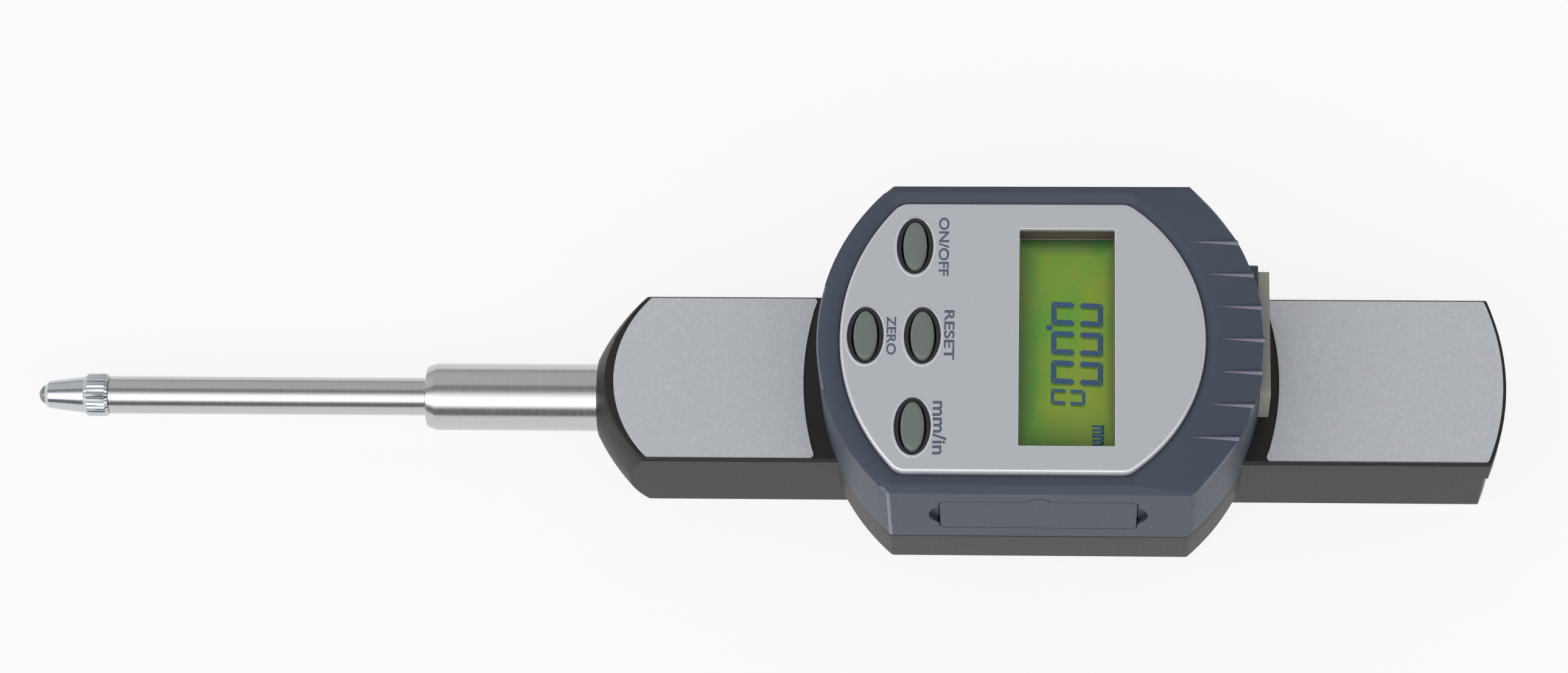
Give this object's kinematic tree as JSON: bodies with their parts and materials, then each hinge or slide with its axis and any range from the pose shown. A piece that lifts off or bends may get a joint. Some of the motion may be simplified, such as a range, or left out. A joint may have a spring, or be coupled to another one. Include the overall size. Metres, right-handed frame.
{
  "type": "digital indicator",
  "caption": "Digital plunger indicator: a round display head on a flat beam, with a clamping stem and a long sprung spindle that ends in a ball contact point.",
  "frame": {"origin": "on the spindle axis, in the end face of the beam where the clamping stem starts", "axes": "+X along the spindle towards the head, +Y across the beam, +Z out of the display"},
  "size_m": [0.1751, 0.0384, 0.027],
  "materials": {
    "black_anodised": "black anodised aluminium, fine satin",
    "silver_label": "satin silver foil with fine glitter",
    "ground_steel": "ground steel, turned finish",
    "nickel": "bright nickel plating",
    "bronze": "sintered bronze",
    "shell_plastic": "blue-grey moulded plastic, semi matt",
    "base_plastic": "dark grey moulded plastic, matt",
    "plate_silver": "light silver paint, satin",
    "black_rubber": "black rubber",
    "button_grey": "grey-green plastic",
    "cover_grey": "light grey-green soft plastic",
    "lcd": "display glass lit green from behind",
    "light_panel": "translucent light panel",
    "board_green": "circuit board",
    "component_black": "moulded component bodies",
    "screw_steel": "zinc plated steel",
    "spring_steel": "spring wire",
    "carriage_metal": "machined aluminium",
    "scale_glass": "glass scale with metal marks"
  },
  "bodies": {
    "housing": {"beam": "black_anodised", "cover_strip": "black_anodised", "left_label": "silver_label", "right_label": "silver_label", "stem": "ground_steel", "front_bush": "bronze", "rear_bush": "bronze", "beam_spring_pin": "screw_steel", "return_spring": "spring_steel", "front_bumper": "black_rubber", "rear_bumper": "black_rubber", "head_base": "base_plastic", "front_shell": "shell_plastic", "face_plate": "plate_silver", "button_gasket": "black_rubber", "lcd_glass": "lcd", "lcd_backlight": "light_panel", "main_board": "board_green", "board_screws": "screw_steel", "button_switches": "component_black", "battery_contacts": "spring_steel", "reader_head": "component_black", "reader_board": "board_green", "board_header": "component_black", "data_socket": "component_black", "case_screws": "screw_steel", "saddle_screws": "screw_steel"},
    "plunger": {"spindle": "ground_steel", "contact_point": "nickel", "contact_ball": "ground_steel", "carriage": "carriage_metal", "scale": "scale_glass", "grub_screw": "screw_steel", "carriage_spring_pin": "screw_steel"},
    "drawer": {"battery_drawer": "shell_plastic", "coin_cell": "nickel"},
    "cover": {"port_cover": "cover_grey"},
    "button_on_off": {"button_on_off": "button_grey"},
    "button_zero": {"button_zero": "button_grey"},
    "button_reset": {"button_reset": "button_grey"},
    "button_units": {"button_units": "button_grey"}
  },
  "joints": [
    {"name": "plunger_slide", "type": "slide", "parent": "housing", "child": "plunger", "axis": [1, 0, 0], "range_m": [0, 0.03], "stiffness_N_per_m": 20, "springref_m": -0.04, "deforming": ["return_spring"]},
    {"name": "button_on_off_press", "type": "slide", "parent": "housing", "child": "button_on_off", "axis": [0, 0, -1], "range_m": [0, 0.0005], "stiffness_N_per_m": 800, "springref_m": -0.0005},
    {"name": "button_zero_press", "type": "slide", "parent": "housing", "child": "button_zero", "axis": [0, 0, -1], "range_m": [0, 0.0005], "stiffness_N_per_m": 800, "springref_m": -0.0005},
    {"name": "button_reset_press", "type": "slide", "parent": "housing", "child": "button_reset", "axis": [0, 0, -1], "range_m": [0, 0.0005], "stiffness_N_per_m": 800, "springref_m": -0.0005},
    {"name": "button_units_press", "type": "slide", "parent": "housing", "child": "button_units", "axis": [0, 0, -1], "range_m": [0, 0.0005], "stiffness_N_per_m": 800, "springref_m": -0.0005},
    {"name": "drawer_slide", "type": "slide", "parent": "housing", "child": "drawer", "axis": [0, -1, 0], "range_m": [0, 0.024]},
    {"name": "cover_pull", "type": "slide", "parent": "housing", "child": "cover", "axis": [1, 0, 0], "range_m": [0, 0.006]}
  ]
}
